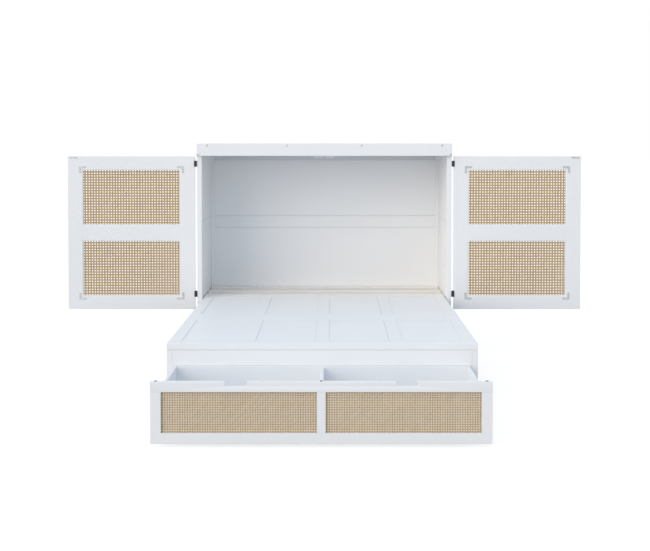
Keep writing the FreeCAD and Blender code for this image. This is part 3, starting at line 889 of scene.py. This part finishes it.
def make_catches():
    """Catch cases hung from the fascia rail, each with two steel pole plates in its face."""
    cases = []
    plates = []
    for low, high in solid_boxes("magnetic_catches"):
        low = Vector((low.x, low.y, high.z - catch_case_height))
        cases.append((low, high))
        for share in pole_plate_places:
            bottom = low.z + share * catch_case_height
            plates.append((Vector((low.x + pole_plate_inset, low.y - pole_plate_proud, bottom)),
                           Vector((high.x - pole_plate_inset, low.y + pole_plate_proud,
                                   bottom + pole_plate_height))))
    slot = "white_plastic"
    piece = rounded_blocks("magnetic_catch_cases", "cabinet", slot_materials[slot], cases,
                           catch_case_round)
    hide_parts("magnetic_catches")
    rounded_blocks("catch_pole_plates", "cabinet", zinc_steel, plates, pole_plate_proud / 2)


# Strips that close running gaps

def fit_strips():
    """A bead under the deck's front edge, a lip behind the drawer's back and packers above its slides."""
    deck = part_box("front_deck_rails")
    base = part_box("base_front_rail")
    low = Vector((deck[0].x + deck_bead_setback, deck[0].y + deck_bead_setback, base[1].z + running_gap))
    high = Vector((deck[1].x - deck_bead_setback, low.y + deck_bead_depth, deck[0].z))
    rounded_blocks("deck_edge_bead", "front_deck", paints[0], [(low, high)], thin_round)

    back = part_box("drawer_back")
    top = base[0].z - running_gap / 2
    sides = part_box("drawer_sides")
    low = Vector((sides[0].x, back[1].y, top - drawer_lip_height))
    high = Vector((sides[1].x, back[1].y + drawer_lip_depth, top))
    # The lip takes the drawer box's darker paint, which is painted shade
    rounded_blocks("drawer_back_lip", "drawer", shaded_box_paints[0], [(low, high)], thin_round)

    packers = []
    for sign in (-1, 1):
        ends = sorted((sign * base[1].x, sign * (sides[1].x + running_gap)))
        start = base[0].y + packer_setback
        packers.append((Vector((ends[0], start, base[0].z - packer_height)),
                        Vector((ends[1], start + packer_depth, base[0].z))))
    rounded_blocks("slide_packers", "rolling_base", paints[1], packers, thin_round)


# Wheels

def wheel_profile(half):
    """Half widths and radii of a wheel's outline, from the bore out over one face and the tread and back.

    A third value is 1 where the outline dips between the spokes.
    """
    rows = [(half, wheel_bore_share, 0), (half, wheel_boss_share, 0), (half, wheel_boss_share, 1),
            (half, wheel_web_share, 1), (half, wheel_rim_share, 0), (half, wheel_shoulder_share, 0),
            (half * wheel_edge_width_share, wheel_edge_share, 0), (half * wheel_tread_width_share, 1.0, 0)]
    return rows + [(-across, share, dip) for across, share, dip in reversed(rows)]


def turn_wheel(name):
    """Replace a wheel node with a spoked wheel of the same size, turned about its axle."""
    low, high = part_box(name)
    middle = (low + high) / 2
    radius = (high.z - low.z) / 2
    profile = wheel_profile((high.x - low.x) / 2)
    recess = radius * wheel_recess_share
    corners = []
    faces = []
    per_spoke = wheel_steps // wheel_spokes
    count = len(profile)
    for step in range(wheel_steps):
        angle = math.tau * step / wheel_steps
        between_spokes = step % per_spoke >= spoke_steps
        for across, share, dip in profile:
            if dip and between_spokes:
                across -= math.copysign(recess, across)
            corners.append((middle.x + across, middle.y + radius * share * math.cos(angle),
                            middle.z + radius * share * math.sin(angle)))
        following = (step + 1) % wheel_steps
        for index in range(count):
            turn = (index + 1) % count
            faces.append((step * count + index, step * count + turn,
                          following * count + turn, following * count + index))
    slot = "grey_plastic"
    piece = new_piece(name + "_turned", name, slot_materials[slot], corners, faces)
    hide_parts(name)


# Stage

def grey(value):
    """A neutral colour."""
    return (value, value, value, 1.0)


def seen_directly(tree):
    """1 for the rays that show the background, straight or in metal and glass, and 0 for those that light."""
    path = add_node(tree, "ShaderNodeLightPath")
    seen = arithmetic(tree, "MAXIMUM", path.outputs["Is Camera Ray"], path.outputs["Is Glossy Ray"])
    return arithmetic(tree, "MAXIMUM", seen, path.outputs["Is Transmission Ray"])


def make_floor():
    """A pale floor that is seen as white and keeps a faint shadow of the object."""
    material, tree, shader = new_material("floor", roughness=0.9, specular_ior_level=0.0)
    shown = seen_directly(tree)
    colour = mixed(tree, grey(floor_bounce), grey(floor_seen_shade), shown)
    glow = between(tree, shown, low=0.0, high=floor_seen_glow)
    shader.inputs["Emission Color"].default_value = grey(1.0)
    link_surface(tree, shader, base_color=colour, emission_strength=glow)
    corners = [(x * floor_half_size, y * floor_half_size, 0) for x, y in ((-1, -1), (1, -1), (1, 1), (-1, 1))]
    mesh = bpy.data.meshes.new("floor")
    mesh.from_pydata(corners, [], [(0, 1, 2, 3)])
    mesh.materials.append(material)
    floor = bpy.data.objects.new("floor", mesh)
    bpy.context.scene.collection.objects.link(floor)


def make_light():
    """A soft key from the front left and above, under a pale sky that shows as white."""
    sun = bpy.data.lights.new("key", "SUN")
    sun.energy = key_strength
    sun.angle = key_softness
    sun.color = key_colour
    lamp = bpy.data.objects.new("key", sun)
    lamp.rotation_euler = key_direction.to_track_quat("-Z", "Y").to_euler()
    bpy.context.scene.collection.objects.link(lamp)

    world = bpy.data.worlds.new("studio")
    world.use_nodes = True
    bpy.context.scene.world = world
    tree = world.node_tree
    tree.nodes.clear()
    sky = add_node(tree, "ShaderNodeBackground", {"Color": sky_colour, "Strength": sky_strength})
    white = add_node(tree, "ShaderNodeBackground", {"Color": grey(1.0), "Strength": 1.0})
    mix = add_node(tree, "ShaderNodeMixShader", {"Fac": seen_directly(tree), 1: sky.outputs["Background"],
                                                 2: white.outputs["Background"]})
    output = add_node(tree, "ShaderNodeOutputWorld")
    tree.links.new(mix.outputs["Shader"], output.inputs["Surface"])


def make_camera():
    """The photograph's view: a long, nearly level look from the front, from a little above the cabinet."""
    data = bpy.data.cameras.new("camera")
    data.lens = camera_lens
    data.shift_x, data.shift_y = camera_shift
    camera = bpy.data.objects.new("camera", data)
    camera.location = camera_place
    camera.rotation_euler = (math.pi / 2 - camera_pitch, 0, 0)
    bpy.context.scene.collection.objects.link(camera)
    bpy.context.scene.camera = camera


dress_nodes()
for side in ("left", "right"):
    weave_cane(side + "_door_cane", side + "_door", door_cane_columns, door_cane_rows,
               door_strand_share, door_strand_tones)
weave_cane("drawer_cane", "drawer", drawer_cane_columns, drawer_cane_rows,
           drawer_strand_share, drawer_strand_tones_with_painted_light)
for side, sign in (("left", -1), ("right", 1)):
    screw_brackets(side)
    screw_strike(side)
    screw_hinges(side, sign)
    for end in ("front", "rear"):
        turn_wheel(side + "_" + end + "_wheel")
screw_fascia()
screw_back()
screw_fold_hinges()
fit_top_rail()
make_catches()
fit_strips()
make_floor()
make_light()
make_camera()
bpy.context.scene.view_settings.view_transform = "Standard"
